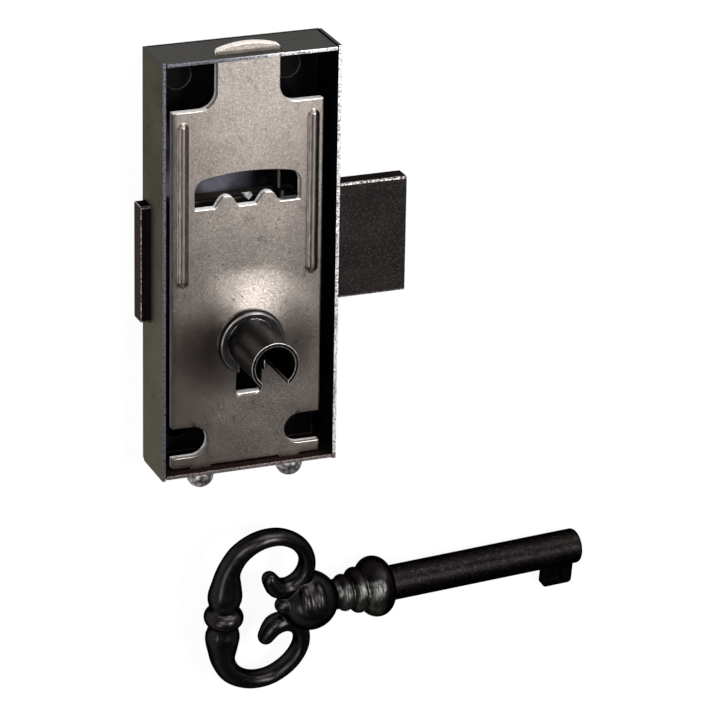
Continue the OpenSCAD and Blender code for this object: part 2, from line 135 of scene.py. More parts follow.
class Value:
    """A socket that plain Python sums can go on from."""

    def __init__(self, nodes, socket):
        self.nodes = nodes
        self.socket = socket

    def sum(self, operation, first, second):
        """One Math node."""
        return self.nodes.add("ShaderNodeMath", {"operation": operation}, {0: first, 1: second})

    def __add__(self, other):
        return self.sum("ADD", self, other)

    def __radd__(self, other):
        return self.sum("ADD", other, self)

    def __sub__(self, other):
        return self.sum("SUBTRACT", self, other)

    def __rsub__(self, other):
        return self.sum("SUBTRACT", other, self)

    def __mul__(self, other):
        return self.sum("MULTIPLY", self, other)

    def __rmul__(self, other):
        return self.sum("MULTIPLY", other, self)

    def __abs__(self):
        return self.sum("ABSOLUTE", self, 0.0)

    def at_most(self, limit):
        """The value, held at a limit."""
        return self.sum("MINIMUM", self, limit)


class Nodes:
    """A node tree that is filled from Python expressions."""

    def __init__(self, tree):
        self.tree = tree

    def join(self, value, socket):
        """A socket's number or colour, or a link to it."""
        if isinstance(value, Value):
            self.tree.links.new(value.socket, socket)
        else:
            socket.default_value = value

    def add(self, kind, settings=None, sockets=None, out=0):
        """One node: its settings first, then the values or links of its sockets."""
        node = self.tree.nodes.new(kind)
        for name, value in (settings or {}).items():
            setattr(node, name, value)
        for name, value in (sockets or {}).items():
            self.join(value, node.inputs[name])
        return Value(self, node.outputs[out])

    def place_mm(self):
        """Place on the piece in millimetres."""
        place = self.add("ShaderNodeTexCoord", out="Object")
        return self.add("ShaderNodeVectorMath", {"operation": "SCALE"}, {0: place, "Scale": 1.0 / MM})

    def key_mm(self):
        """Place on the loose key in millimetres: along it, across it and up."""
        place = self.add("ShaderNodeTexCoord", out="Object")
        return self.add("ShaderNodeMapping", {"vector_type": "TEXTURE"}, {
            "Vector": place,
            "Location": [v * MM for v in KEY_PLACE],
            "Rotation": [math.radians(a) for a in KEY_TURN],
            "Scale": (MM, MM, MM),
        })

    def stretched(self, place, along, across, up):
        """Place scaled differently in each direction, for grain that runs one way."""
        return self.add("ShaderNodeVectorMath", {"operation": "MULTIPLY"}, {
            0: place, 1: (along, across, up)})

    def turned(self, place, angle, along):
        """Place turned about the upright and scaled along, for scratches that run askew."""
        return self.add("ShaderNodeMapping", {"vector_type": "POINT"}, {
            "Vector": place, "Rotation": (0.0, 0.0, math.radians(angle)), "Scale": (along, 1.0, 1.0)})

    def part(self, place, axis):
        """One coordinate of a place."""
        return self.add("ShaderNodeSeparateXYZ", sockets={0: place}, out=axis)

    def noise(self, place, size, detail=2.0, roughness=0.5):
        """Soft noise with features of a size in millimetres, around 0.5."""
        return self.add("ShaderNodeTexNoise", sockets={
            "Vector": place, "Scale": 1.0 / size, "Detail": detail, "Roughness": roughness})

    def grains(self, place, size):
        """Distance to the middle of the nearest grain, in grain sizes."""
        return self.add("ShaderNodeTexVoronoi", sockets={"Vector": place, "Scale": 1.0 / size})

    def step(self, value, low, high):
        """Smooth step from 0 at low to 1 at high."""
        return self.add("ShaderNodeMapRange", {"interpolation_type": "SMOOTHSTEP"}, {
            "Value": value, "From Min": low, "From Max": high, "To Min": 0.0, "To Max": 1.0})

    def spread(self, value, low, high, to_low, to_high):
        """Straight map from one range to another, held at the ends."""
        return self.add("ShaderNodeMapRange", {"interpolation_type": "LINEAR"}, {
            "Value": value, "From Min": low, "From Max": high, "To Min": to_low, "To Max": to_high})

    def mix(self, share, first, second):
        """Colour between two colours."""
        return self.add("ShaderNodeMix", {"data_type": "RGBA"}, {0: share, 6: first, 7: second}, out=2)

    def bump(self, height, depth_mm, strength=1.0):
        """Normal bumped by a height of 0 to 1."""
        return self.add("ShaderNodeBump", sockets={
            "Strength": strength, "Distance": depth_mm * MM, "Height": height})


class Finish(Nodes):
    """A procedural finish of the lock, the key or the floor."""

    def __init__(self, name, **fixed):
        self.material = bpy.data.materials.new(name)
        self.material.use_nodes = True
        super().__init__(self.material.node_tree)
        self.shader = self.tree.nodes["Principled BSDF"]
        for socket, value in fixed.items():
            self.shader.inputs[socket.replace("_", " ")].default_value = value

    def feed(self, **sockets):
        """What changes over the surface, by the shader's sockets."""
        for socket, value in sockets.items():
            self.join(value, self.shader.inputs[socket.replace("_", " ")])
        return self.material


def tone(red, green, blue):
    """Colour as it shows on screen, 0 to 255, in the shader's own numbers."""
    straight = [v / 255 for v in (red, green, blue)]
    return [v / 12.92 if v <= 0.04045 else ((v + 0.055) / 1.055) ** 2.4 for v in straight] + [1.0]


# Finishes

def blued_sheet():
    """Black-olive burnt oil finish of the folded case, mottled and rub-marked, and painted lighter towards
    its bottom end as painted light.
    """
    f = Finish("blued_sheet", Metallic=1.0, Specular_Tint=tone(150, 148, 140))
    place = f.place_mm()
    clouds = f.noise(place, 9.0, 3.0)
    mottle = f.noise(place, 1.6, 3.0)
    grain = f.noise(place, 0.22, 2.0)
    along = f.part(place, "Y")
    # Painted light: the case is painted lighter towards its bottom end.
    low = f.step(along, 34.0, -30.0)
    end = f.step(along, CASE_END_INSIDE - 0.3, CASE_END_INSIDE + 0.2)
    colour = f.mix(f.step(clouds, 0.35, 0.68), tone(86, 84, 78), tone(100, 97, 90))
    colour = f.mix(low * 0.6, colour, tone(116, 113, 105))
    colour = f.mix(end, colour, tone(92, 92, 93))
    colour = f.mix(f.step(mottle, 0.55, 0.75) * 0.4, colour, tone(66, 64, 60))
    colour = f.mix(f.step(grain, 0.58, 0.8) * 0.35, colour, tone(126, 122, 112))
    return f.feed(
        Base_Color=colour,
        Roughness=0.36 + mottle * 0.2,
        Normal=f.bump(grain * 0.6 + mottle * 0.4, 0.02, 0.5))


def blued_inside_painted_shade():
    """Inside walls of the case painted near black as painted shade, with drip streaks and a paler brown
    band on the bottom wall's inner face.
    """
    f = Finish("blued_inside_painted_shade", Metallic=1.0, Specular_Tint=tone(110, 108, 106))
    place = f.place_mm()
    streaks = f.noise(f.stretched(place, 1.0, 0.15, 1.0), 0.8, 3.0)
    scale = f.noise(place, 0.4, 2.0)
    # Painted shade: the inside is painted far darker than the outside of the same sheet.
    colour = f.mix(f.step(streaks, 0.4, 0.75), tone(24, 24, 26), tone(40, 40, 43))
    colour = f.mix(f.step(scale, 0.55, 0.75) * 0.5, colour, tone(16, 16, 17))
    bottom = f.step(f.part(place, "Y"), 1.3 - CASE_END_INSIDE, 0.7 - CASE_END_INSIDE)
    colour = f.mix(bottom * 0.7, colour, tone(84, 70, 67))
    return f.feed(Base_Color=colour, Roughness=0.34 + scale * 0.2, Normal=f.bump(scale, 0.02, 0.4))


def blued_floor_painted_light():
    """Inside of the case's back painted near black as painted shade, with a pale blue-grey pool of painted
    light under the plate's window.
    """
    f = Finish("blued_floor_painted_light", Metallic=0.45, Specular_IOR_Level=0.05)
    place = f.place_mm()
    drift = f.noise(place, 3.0, 3.0)
    scale = f.noise(place, 0.35, 2.0)
    along = f.part(place, "Y")
    # Painted light: a pale blue-grey pool on the back under the plate's window, where light falls in;
    # elsewhere the back is painted near black as painted shade.
    painted_light_pool = f.step(along, 4.0, 7.0) * f.step(along, 24.0, 20.0) * f.step(f.part(place, "X"), 5.0, -3.0)
    drifts = f.step(drift, 0.35, 0.7)
    colour = f.mix(drifts, tone(5, 5, 8), tone(9, 9, 13))
    pale_tone = f.mix(drifts, tone(82, 81, 89), tone(99, 98, 107))
    pale_tone = f.mix(f.step(scale, 0.55, 0.75) * 0.4, pale_tone, tone(52, 51, 57))
    return f.feed(
        Base_Color=f.mix(painted_light_pool, colour, pale_tone),
        Roughness=0.5 + scale * 0.14,
        Normal=f.bump(scale, 0.015, 0.4))


def cut_sheet():
    """Bare sheared rim of the case, brown at the bottom; painted highlight takes it from grey on the left
    to near white on the right.
    """
    f = Finish("cut_sheet", Metallic=1.0)
    place = f.place_mm()
    speckle = f.noise(place, 0.4, 3.0, 0.7)
    patches = f.noise(place, 4.0, 2.0)
    # Painted highlight: the rim is painted from grey on the left to near white on the right.
    right = f.step(f.part(place, "X"), -6.0, 12.0)
    bottom = f.step(f.part(place, "Y"), 0.4 - CASE_END_INSIDE, -CASE_END_INSIDE)
    colour = f.mix(right, tone(98, 100, 108), tone(236, 235, 236))
    colour = f.mix(bottom, colour, tone(132, 120, 117))
    colour = f.mix(f.step(speckle, 0.48, 0.58) * 0.85, colour, tone(56, 53, 55))
    colour = f.mix(f.step(patches, 0.5, 0.75) * 0.5, colour, tone(88, 84, 88))
    return f.feed(
        Base_Color=colour,
        Roughness=0.28 + speckle * 0.25,
        Normal=f.bump(speckle, 0.03, 0.5))


def plate_satin():
    """Warm grey satin of the sunk plate: grain, pits, smudges and scratches, with painted shade at its
    lower left, darkest beside the tube on its left.
    """
    f = Finish("plate_satin", Metallic=1.0)
    place = f.place_mm()
    grain = f.noise(place, 0.28, 3.0, 0.6)
    coarse = f.noise(place, 0.8, 2.0)
    smudge = f.noise(place, 6.0, 3.0)
    stains = f.noise(f.stretched(place, 1.0, 0.6, 1.0), 1.3, 4.0, 0.6)
    pits = f.grains(place, 1.7)
    spots = f.noise(place, 2.3, 1.0)
    hairs = f.noise(f.turned(place, angle=38.0, along=0.1), 0.22, 2.0)
    across = f.part(place, "X")
    along = f.part(place, "Y")
    sides = f.step(abs(across), 4.0, 11.0)
    # Painted shade: the plate is painted darker at its lower left, and darkest beside the tube on its left
    # as a painted shadow of the tube.
    painted_shade_lower_left = f.step(across + smudge * 3.0, 1.0, -6.0) * f.step(along + smudge * 4.0, -3.0, -9.0)
    painted_shadow_left_of_tube = painted_shade_lower_left * f.step(abs(along - (TUBE_PLACE[1] - 0.15)), 10.0, 2.0)
    colour = f.mix(f.step(smudge, 0.3, 0.7), tone(136, 128, 122), tone(150, 142, 135))
    colour = f.mix(f.step(grain, 0.5, 0.72) * 0.65, colour, tone(102, 95, 91))
    colour = f.mix(f.step(grain, 0.48, 0.3) * 0.55, colour, tone(180, 172, 165))
    colour = f.mix(f.step(stains, 0.58, 0.72) * 0.45, colour, tone(88, 80, 77))
    colour = f.mix(sides * 0.4, colour, tone(108, 101, 97))
    colour = f.mix(painted_shade_lower_left * 0.4, colour, tone(94, 83, 78))
    colour = f.mix(painted_shadow_left_of_tube * 0.6, colour, tone(76, 65, 61))
    colour = f.mix(f.step(hairs, 0.7, 0.78) * 0.5, colour, tone(78, 72, 69))
    colour = f.mix(f.step(pits, 0.13, 0.07) * f.step(spots, 0.55, 0.62) * 0.85, colour, tone(40, 36, 35))
    return f.feed(
        Base_Color=colour,
        Roughness=0.2 + coarse * 0.06 + smudge * 0.05,
        Normal=f.bump(grain * 0.0045 + coarse * 0.003, 1.0))


def pressed_ribs():
    """Ribs pressed up in the sunk plate, painted darker and browner than the flat round them as painted
    shade on their flanks, with drag lines along them and a painted highlight along each crest.
    """
    f = Finish("pressed_ribs", Metallic=1.0)
    place = f.place_mm()
    drag = f.noise(f.stretched(place, 1.0, 0.12, 1.0), 0.25, 2.0)
    stain = f.noise(place, 1.4, 3.0, 0.6)
    # Painted shade: the ribs are painted darker and browner than the flat for the shade on their flanks.
    colour = f.mix(f.step(stain, 0.35, 0.65), tone(96, 86, 82), tone(78, 69, 65))
    colour = f.mix(f.step(drag, 0.5, 0.7) * 0.5, colour, tone(120, 112, 107))
    # Painted highlight along the crest of each rib.
    crest = f.step(abs(abs(f.part(place, "X")) - RIB_PLACE), 0.4, 0.1)
    colour = f.mix(crest * 0.55, colour, tone(158, 150, 145))
    return f.feed(Base_Color=colour, Roughness=0.3 + drag * 0.1, Normal=f.bump(drag, 0.01, 0.5))


def sheared(name, bright, dull, roll=0.0):
    """Sheared side of a sheet; where roll is given, the die has rolled its upper rim to a darker line."""
    f = Finish(name, Metallic=0.3)
    place = f.place_mm()
    streaks = f.noise(f.stretched(place, 1.0, 1.0, 0.25), 0.25, 2.0)
    rolled = f.step(f.part(place, "Z") + streaks * 0.3, PLATE_TOP - 0.6, PLATE_TOP - 0.35)
    colour = f.mix(f.step(streaks, 0.45, 0.7), bright, dull)
    colour = f.mix(rolled * roll, colour, tone(70, 58, 54))
    return f.feed(Base_Color=colour, Roughness=0.4 + streaks * 0.25, Normal=f.bump(streaks, 0.03, 0.4))


def peened_ends():
    """Hammered ends of the plate's tenons: facets beaten bright, dark scale between them."""
    f = Finish("peened_ends", Metallic=1.0)
    place = f.place_mm()
    facets = f.grains(place, 0.8)
    scale = f.noise(place, 0.35, 3.0, 0.6)
    colour = f.mix(f.step(facets, 0.35, 0.65), tone(150, 147, 146), tone(84, 80, 80))
    colour = f.mix(f.step(scale, 0.5, 0.66) * 0.7, colour, tone(50, 46, 46))
    return f.feed(
        Base_Color=colour,
        Roughness=0.3 + scale * 0.25,
        Normal=f.bump(facets * 0.7 + scale * 0.3, 0.07, 0.5))


def tube_steel():
    """Dark drawn steel of the key tube, polished along the draw."""
    f = Finish("tube_steel", Metallic=1.0)
    place = f.place_mm()
    draw = f.noise(f.stretched(place, 1.0, 1.0, 0.08), 0.3, 2.0)
    clouds = f.noise(place, 2.5, 2.0)
    colour = f.mix(f.step(clouds, 0.35, 0.7), tone(22, 21, 21), tone(31, 29, 29))
    colour = f.mix(f.step(draw, 0.55, 0.75) * 0.3, colour, tone(18, 17, 17))
    return f.feed(Base_Color=colour, Roughness=0.3 + draw * 0.1, Normal=f.bump(draw, 0.005, 0.4))


def collar_steel():
    """Flat of the tube's collar, greyer than the tube and finely specked."""
    f = Finish("collar_steel", Metallic=1.0)
    place = f.place_mm()
    cloud = f.noise(place, 1.8, 2.0)
    fine = f.noise(place, 0.25, 2.0)
    colour = f.mix(f.step(cloud, 0.35, 0.7), tone(84, 81, 81), tone(102, 99, 99))
    colour = f.mix(f.step(fine, 0.52, 0.7) * 0.5, colour, tone(70, 67, 67))
    return f.feed(Base_Color=colour, Roughness=0.26 + fine * 0.14, Normal=f.bump(fine, 0.01, 0.4))


def tube_rim():
    """Rubbed bright edges of the key tube."""
    f = Finish("tube_rim", Metallic=1.0)
    place = f.place_mm()
    speckle = f.noise(place, 0.3, 2.0)
    colour = f.mix(f.step(speckle, 0.45, 0.7), tone(205, 202, 198), tone(130, 126, 122))
    return f.feed(Base_Color=colour, Roughness=0.25 + speckle * 0.2)


def bolt_grain():
    """Dark brown-grey of the bolt, granular all over and paler on its tail's end; painted shade darkens
    the tail's top outside the case, and painted light makes its upper face pale inside the case.
    """
    f = Finish("bolt_grain", Metallic=1.0, Specular_Tint=tone(140, 136, 134))
    place = f.place_mm()
    grain = f.noise(place, 0.3, 3.0, 0.7)
    fine = f.noise(place, 0.12, 1.0)
    clouds = f.noise(place, 5.0, 2.0)
    colour = f.mix(f.step(clouds, 0.3, 0.7), tone(31, 28, 28), tone(39, 35, 34))
    colour = f.mix(f.step(grain, 0.5, 0.72) * 0.6, colour, tone(80, 74, 71))
    colour = f.mix(f.step(grain, 0.45, 0.3) * 0.6, colour, tone(26, 23, 24))
    across = f.part(place, "X")
    # Painted shade: the tail's top outside the case is painted near black.
    outside = f.step(across, 0.3 - CASE_SIDE, -0.1 - CASE_SIDE)
    colour = f.mix(outside * 0.75, colour, tone(17, 15, 16))
    tail = f.step(across, BOLT_TAIL + 0.2, BOLT_TAIL + 0.08)
    colour = f.mix(tail * 0.75, colour, tone(84, 74, 70))
    # Painted light: the bolt's upper face inside the case is painted pale.
    inside = f.step(abs(across), CASE_SIDE - 0.6, CASE_SIDE - 1.2)
    upper = f.step(f.part(place, "Y"), BOLT_EDGE - 0.4, BOLT_EDGE - 0.1) * inside
    colour = f.mix(upper, colour, tone(112, 106, 100))
    return f.feed(
        Base_Color=colour,
        Roughness=0.46 + grain * 0.2,
        Normal=f.bump(grain * 0.75 + fine * 0.25, 0.05, 0.6))


def bolt_rubbed_and_painted_shade():
    """Edges of the bolt with rub wear in bright specks; inside the case they are painted dark as painted
    shade.
    """
    f = Finish("bolt_rubbed_and_painted_shade", Metallic=1.0)
    place = f.place_mm()
    speckle = f.noise(place, 0.3, 3.0, 0.65)
    colour = f.mix(f.step(speckle, 0.42, 0.56), tone(168, 164, 161), tone(50, 46, 45))
    # Painted shade: the edges inside the case are painted dark.
    inside = f.step(abs(f.part(place, "X")), CASE_SIDE - 0.4, CASE_SIDE - 1.0)
    colour = f.mix(inside, colour, tone(46, 43, 42))
    return f.feed(Base_Color=colour, Roughness=0.3 + speckle * 0.25, Normal=f.bump(speckle, 0.03, 0.5))


def nick_bare_painted_glint():
    """Bare steel in the file nick on the bolt's upper edge, painted near white so that it shows as a
    painted glint.
    """
    f = Finish("nick_bare_painted_glint", Metallic=0.2)
    place = f.place_mm()
    file_lines = f.noise(f.stretched(place, 1.0, 1.0, 0.2), 0.15, 2.0)
    # Painted glint: the nick is painted near white.
    colour = f.mix(f.step(file_lines, 0.45, 0.7), tone(244, 243, 242), tone(214, 212, 210))
    return f.feed(Base_Color=colour, Roughness=0.35 + file_lines * 0.2)


def spring_strip():
    """Hardened strip of the detent spring, grey with straw tints along it."""
    f = Finish("spring_strip", Metallic=1.0)
    place = f.place_mm()
    lines = f.noise(f.stretched(place, 1.0, 0.1, 1.0), 0.2, 2.0)
    tint = f.noise(place, 2.0, 2.0)
    colour = f.mix(f.step(tint, 0.4, 0.7), tone(50, 49, 50), tone(60, 57, 53))
    colour = f.mix(f.step(lines, 0.55, 0.75) * 0.5, colour, tone(36, 35, 36))
    return f.feed(Base_Color=colour, Roughness=0.3 + lines * 0.2, Normal=f.bump(lines, 0.01, 0.4))


def stud_turned():
    """Plain turned steel of the guide stud with its tool rings."""
    f = Finish("stud_turned", Metallic=1.0)
    place = f.place_mm()
    rings = f.noise(f.stretched(place, 0.3, 0.3, 4.0), 0.4, 2.0)
    stain = f.noise(place, 1.5, 2.0)
    colour = f.mix(f.step(stain, 0.35, 0.7), tone(104, 101, 99), tone(126, 122, 118))
    colour = f.mix(f.step(rings, 0.5, 0.75) * 0.5, colour, tone(78, 75, 73))
    return f.feed(Base_Color=colour, Roughness=0.3 + rings * 0.15, Normal=f.bump(rings, 0.01, 0.4))


def bow_iron():
    """Black cast iron of the bow, brown on the knuckle; the turned rings grey with wear on their lower
    side, with a painted highlight band across them, and darker iron painted behind the ball elsewhere as
    painted shade on the rings' upper side and the collar's back.
    """
    f = Finish("bow_iron", Metallic=1.0, Specular_Tint=tone(90, 86, 84))
    place = f.key_mm()
    along = f.part(place, "X")
    across = f.part(place, "Y")
    cast = f.noise(place, 0.5, 3.0, 0.6)
    clouds = f.noise(place, 3.0, 2.0)
    brushed = f.noise(f.stretched(place, 1.0, 0.18, 0.18), 0.22, 3.0, 0.6)
    behind_ball = f.step(along, RINGS_FROM, RINGS_FROM + 0.8)
    rings = behind_ball * f.step(along, RINGS_TO, RINGS_TO - 1.0)
    # Painted light on the rings: side runs towards their upper side as they are seen; the upper side keeps
    # darker iron as painted shade, and a band across the middle is painted as a highlight.
    side = across * PAINTED_SIDE_ACROSS + f.part(place, "Z") * PAINTED_SIDE_UP + clouds * 0.6
    low = f.step(side, 1.9, 1.1)
    polished = f.step(side, 1.7, 0.9) * f.step(side, -2.0, -0.6)
    knuckle = f.step(abs(across), 2.2, 1.2) * f.step(along, 4.5, 3.2)
    colour = f.mix(f.step(clouds, 0.4, 0.7), tone(36, 34, 35), tone(43, 41, 42))
    colour = f.mix(f.step(cast, 0.55, 0.75) * 0.5, colour, tone(64, 60, 60))
    colour = f.mix(knuckle * 0.4, colour, tone(44, 40, 39))
    # Wear on the rings, with the painted highlight band mixed in.
    wear_and_sheen = f.mix(f.step(brushed, 0.4, 0.66), tone(60, 60, 57), tone(32, 31, 30))
    pale_tone = f.mix(f.step(brushed, 0.42, 0.62), tone(128, 127, 125), tone(40, 39, 38))
    painted_highlight_share = polished * f.spread(along, RINGS_FROM + 0.5, RINGS_FROM + 4.0, 0.3, 0.6)
    wear_and_sheen = f.mix(painted_highlight_share, wear_and_sheen, pale_tone)
    # Painted shade: darker iron behind the ball, which stays on the rings' upper side and on the collar's
    # back.
    colour = f.mix(behind_ball, colour, tone(27, 24, 25))
    colour = f.mix(rings * low, colour, wear_and_sheen)
    return f.feed(
        Base_Color=colour,
        Roughness=0.23 + cast * 0.14 + rings * 0.06,
        Normal=f.bump(cast * 0.006 + brushed * rings * 0.13, 1.0))


def shank_iron():
    """Black iron of the shank and the bit with a fine brown-specked grain."""
    f = Finish("shank_iron", Metallic=1.0, Specular_Tint=tone(90, 86, 84))
    place = f.key_mm()
    specks = f.noise(place, 0.4, 3.0, 0.7)
    clouds = f.noise(place, 3.5, 2.0)
    drawn = f.noise(f.stretched(place, 0.2, 1.0, 1.0), 0.3, 2.0)
    colour = f.mix(f.step(clouds, 0.35, 0.7), tone(16, 14, 15), tone(20, 18, 18))
    colour = f.mix(f.step(specks, 0.5, 0.66) * 0.6, colour, tone(48, 42, 40))
    return f.feed(
        Base_Color=colour,
        Roughness=0.3 + specks * 0.2,
        Normal=f.bump(specks * 0.6 + drawn * 0.4, 0.06, 0.5))


# Pieces

def only(piece):
    """One piece selected and active, nothing else."""
    bpy.ops.object.select_all(action="DESELECT")
    piece.select_set(True)
    bpy.context.view_layer.objects.active = piece


def dressed(node, name, finishes):
    """Copy of a CAD node with its loose triangles merged and its flat faces made whole."""
    piece = bpy.data.objects.new(name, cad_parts[node].data.copy())
    bpy.context.scene.collection.objects.link(piece)
    only(piece)
    bpy.ops.mesh.customdata_custom_splitnormals_clear()
    bpy.ops.object.mode_set(mode="EDIT")
    bpy.ops.mesh.select_all(action="SELECT")
    bpy.ops.mesh.remove_doubles(threshold=MERGED_WITHIN * MM)
    bpy.ops.mesh.dissolve_limited(angle_limit=math.radians(FLAT_WITHIN))
    bpy.ops.object.mode_set(mode="OBJECT")
    piece.data.materials.clear()
    for finish in finishes:
        piece.data.materials.append(finish)
    for face in piece.data.polygons:
        face.material_index = 0
    return piece


def mark(piece, finish, chosen):
    """Another finish on the faces that a rule picks by their middle, in millimetres, and their normal."""
    index = piece.data.materials.find(finish.name)
    for face in piece.data.polygons:
        if chosen(face.center / MM, face.normal):
            face.material_index = index


def looks_up(normal):
    """Whether a face looks out of the open rim."""
    return normal.z > 0.9


def stands(normal):
    """Whether a face stands upright."""
    return abs(normal.z) < 0.2


def break_edges(piece, width, segments=2, finish=None):
    """Small bevel on every sharp edge, in another finish where one is given."""
    only(piece)
    bevel = piece.modifiers.new("edges", "BEVEL")
    bevel.width = width * MM
    bevel.segments = segments
    bevel.limit_method = "ANGLE"
    bevel.angle_limit = math.radians(BROKEN_FROM)
    bevel.use_clamp_overlap = False
    if finish:
        bevel.material = piece.data.materials.find(finish.name)
    bpy.ops.object.modifier_apply(modifier=bevel.name)
    bpy.ops.object.shade_smooth_by_angle(angle=math.radians(SMOOTH_BELOW))
    level = piece.modifiers.new("level", "WEIGHTED_NORMAL")
    level.keep_sharp = True
    bpy.ops.object.modifier_apply(modifier=level.name)


def settle(piece, node, body):
    """The piece stands for its CAD node, on the node's body."""
    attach(piece, body)
    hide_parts(node)


def make_case():
    """Folded tray: blued outside, painted near black inside as painted shade with a pool of painted light
    on the back under the window, bare on the rim and grey in the upper screw holes.
    """
    rim, inside, floor = cut_sheet(), blued_inside_painted_shade(), blued_floor_painted_light()
    holes = sheared("hole_walls", tone(112, 110, 110), tone(84, 82, 82))
    piece = dressed("case", "case_tray", [blued_sheet(), rim, inside, floor, holes])
    middle = Vector((0.0, 0.0, 9.0))
    mark(piece, inside, lambda at, to: at.z > SHEET / 2 and to.dot(middle - at) > 0)
    mark(piece, floor, lambda at, to: looks_up(to) and at.z < 1.0)
    mark(piece, rim, lambda at, to: looks_up(to) and at.z > CASE_RIM - 0.1)
    mark(piece, holes, lambda at, to: (
        stands(to) and 0.1 < at.z < 0.75 and abs(at.x) < 13.5 and 20.0 < at.y < 34.0))
    break_edges(piece, width=0.07)
    settle(piece, "case", "lock")


def from_tube(point):
    """How far a point lies from the key tube's axis, in millimetres."""
    return math.hypot(point.x / MM - TUBE_PLACE[0], point.y / MM - TUBE_PLACE[1])


def smooth(share):
    """Soft rise from 0 to 1."""
    held = min(1.0, max(0.0, share))
    return held * held * (3.0 - 2.0 * held)


def boss_lift(point):
    """How far the plate is drawn up at a point: most above the tube, nothing well below it."""
    near = smooth((BOSS_OUTER - from_tube(point)) / (BOSS_OUTER - BOSS_INNER))
    above = smooth((point.y / MM - TUBE_PLACE[1] - BOSS_FOOT) / (BOSS_FULL - BOSS_FOOT))
    return BOSS_RISE * MM * near * above


def raise_boss(piece):
    """The plate drawn up softly round the tube, as riveting the collar leaves it."""
    only(piece)
    bpy.ops.object.mode_set(mode="EDIT")
    reach = round(BOSS_OUTER)
    for axis, way in enumerate(((1, 0, 0), (0, 1, 0))):
        for cut in range(-reach, reach + 1):
            place = [TUBE_PLACE[0] * MM, TUBE_PLACE[1] * MM, 0.0]
            place[axis] += cut * MM
            bpy.ops.mesh.select_all(action="SELECT")
            bpy.ops.mesh.bisect(plane_co=place, plane_no=way)
    bpy.ops.object.mode_set(mode="OBJECT")
    for point in piece.data.vertices:
        point.co.z += boss_lift(point.co)


def plate_side(at, to):
    """Whether a face is one of the sunk plate's sheared sides."""
    return stands(to) and PLATE_UNDER - 0.1 < at.z < PLATE_TOP + 0.1


def make_plate():
    """Sunk plate with its sheared sides, pressed ribs, peened tenons and the soft boss round the tube."""
    satin, peened, ribs = plate_satin(), peened_ends(), pressed_ribs()
    # Painted light: sheared sides that face up get a whiter copy of the sheared finish, without the rolled
    # dark line.
    upper = sheared("sheared_up_painted_light", tone(250, 249, 248), tone(226, 222, 219))
    flank = sheared("sheared_flank", tone(240, 238, 236), tone(200, 195, 191), roll=0.85)
    tongue = sheared("tongue_end", tone(204, 194, 188), tone(176, 166, 160))
    piece = dressed("cover_plate", "sunk_plate", [satin, upper, flank, peened, ribs, tongue])
    mark(piece, flank, lambda at, to: plate_side(at, to) and at.y > -CASE_END - 0.1)
    mark(piece, upper, lambda at, to: plate_side(at, to) and to.y > 0.3)
    mark(piece, flank, lambda at, to: plate_side(at, to) and to.y > 0.3 and to.x < -0.4)
    mark(piece, flank, lambda at, to: plate_side(at, to) and -33.0 < at.y < -24.0)
    mark(piece, satin, lambda at, to: abs(to.x) > 0.8 and from_tube(at * MM) < 12.0)
    mark(piece, peened, lambda at, to: at.y < -CASE_END - 0.3)
    mark(piece, ribs, lambda at, to: at.z > PLATE_TOP - 0.05 and abs(at.x) > 6.0 and abs(at.y) < 34.0)
    mark(piece, tongue, lambda at, to: at.y > CASE_END and to.y > 0.3)
    raise_boss(piece)
    break_edges(piece, width=0.14)
    settle(piece, "cover_plate", "lock")


def make_tube():
    """Slotted key tube, its collar seated on the drawn-up plate."""
    rim, collar = tube_rim(), collar_steel()
    piece = dressed("key_tube", "key_guide_tube", [tube_steel(), rim, collar])
    for point in piece.data.vertices:
        if from_tube(point.co) > TUBE_R + 0.1:
            point.co.z += boss_lift(point.co)
    mark(piece, collar, lambda at, to: to.z > 0.7 and 8.0 < at.z < 12.0)
    break_edges(piece, width=0.08, finish=rim)
    settle(piece, "key_tube", "lock")


def make_stud():
    """Turned stud that guides the bolt in its slot."""
    piece = dressed("guide_stud", "bolt_stud", [stud_turned()])
    break_edges(piece, width=0.15)
    settle(piece, "guide_stud", "lock")


def make_bolt():
    """Flat bar with rub-marked edges, painted dark inside the case as painted shade, and a bare file nick
    painted near white as a painted glint.
    """
    pale_tone, nick = bolt_rubbed_and_painted_shade(), nick_bare_painted_glint()
    piece = dressed("bolt", "sliding_bolt", [bolt_grain(), pale_tone, nick])
    mark(piece, pale_tone, lambda at, to: to.y > 0.3 and to.z > 0.3)
    break_edges(piece, width=0.12, finish=pale_tone)
    mark(piece, nick, lambda at, to: (
        abs(at.x - NICK_PLACE) < 0.75 and 9.0 < at.y < BOLT_EDGE + 0.05 and 2.5 < at.z < 4.3))
    settle(piece, "bolt", "bolt")


def make_spring():
    """Hairpin spring that rides in the bolt."""
    piece = dressed("detent_spring", "hairpin_spring", [spring_strip()])
    break_edges(piece, width=0.06)
    settle(piece, "detent_spring", "bolt")


def key_frame():
    """Turns a place on the key, in millimetres, into a place in the scene."""
    turn = Euler([math.radians(a) for a in KEY_TURN]).to_matrix().to_4x4()
    return Matrix.Translation(Vector(KEY_PLACE) * MM) @ turn @ Matrix.Scale(MM, 4)


def egg(name, place, half):
    """Round swelling of the casting, given by its place on the key and its three half sizes."""
    bpy.ops.object.select_all(action="DESELECT")
    bpy.ops.mesh.primitive_uv_sphere_add(segments=40, ring_count=24, radius=1.0)
    piece = bpy.context.object
    piece.name = name
    piece.matrix_world = key_frame() @ place @ Matrix.Diagonal((*half, 1.0))
    bpy.ops.object.transform_apply(location=True, rotation=True, scale=True)
    return piece


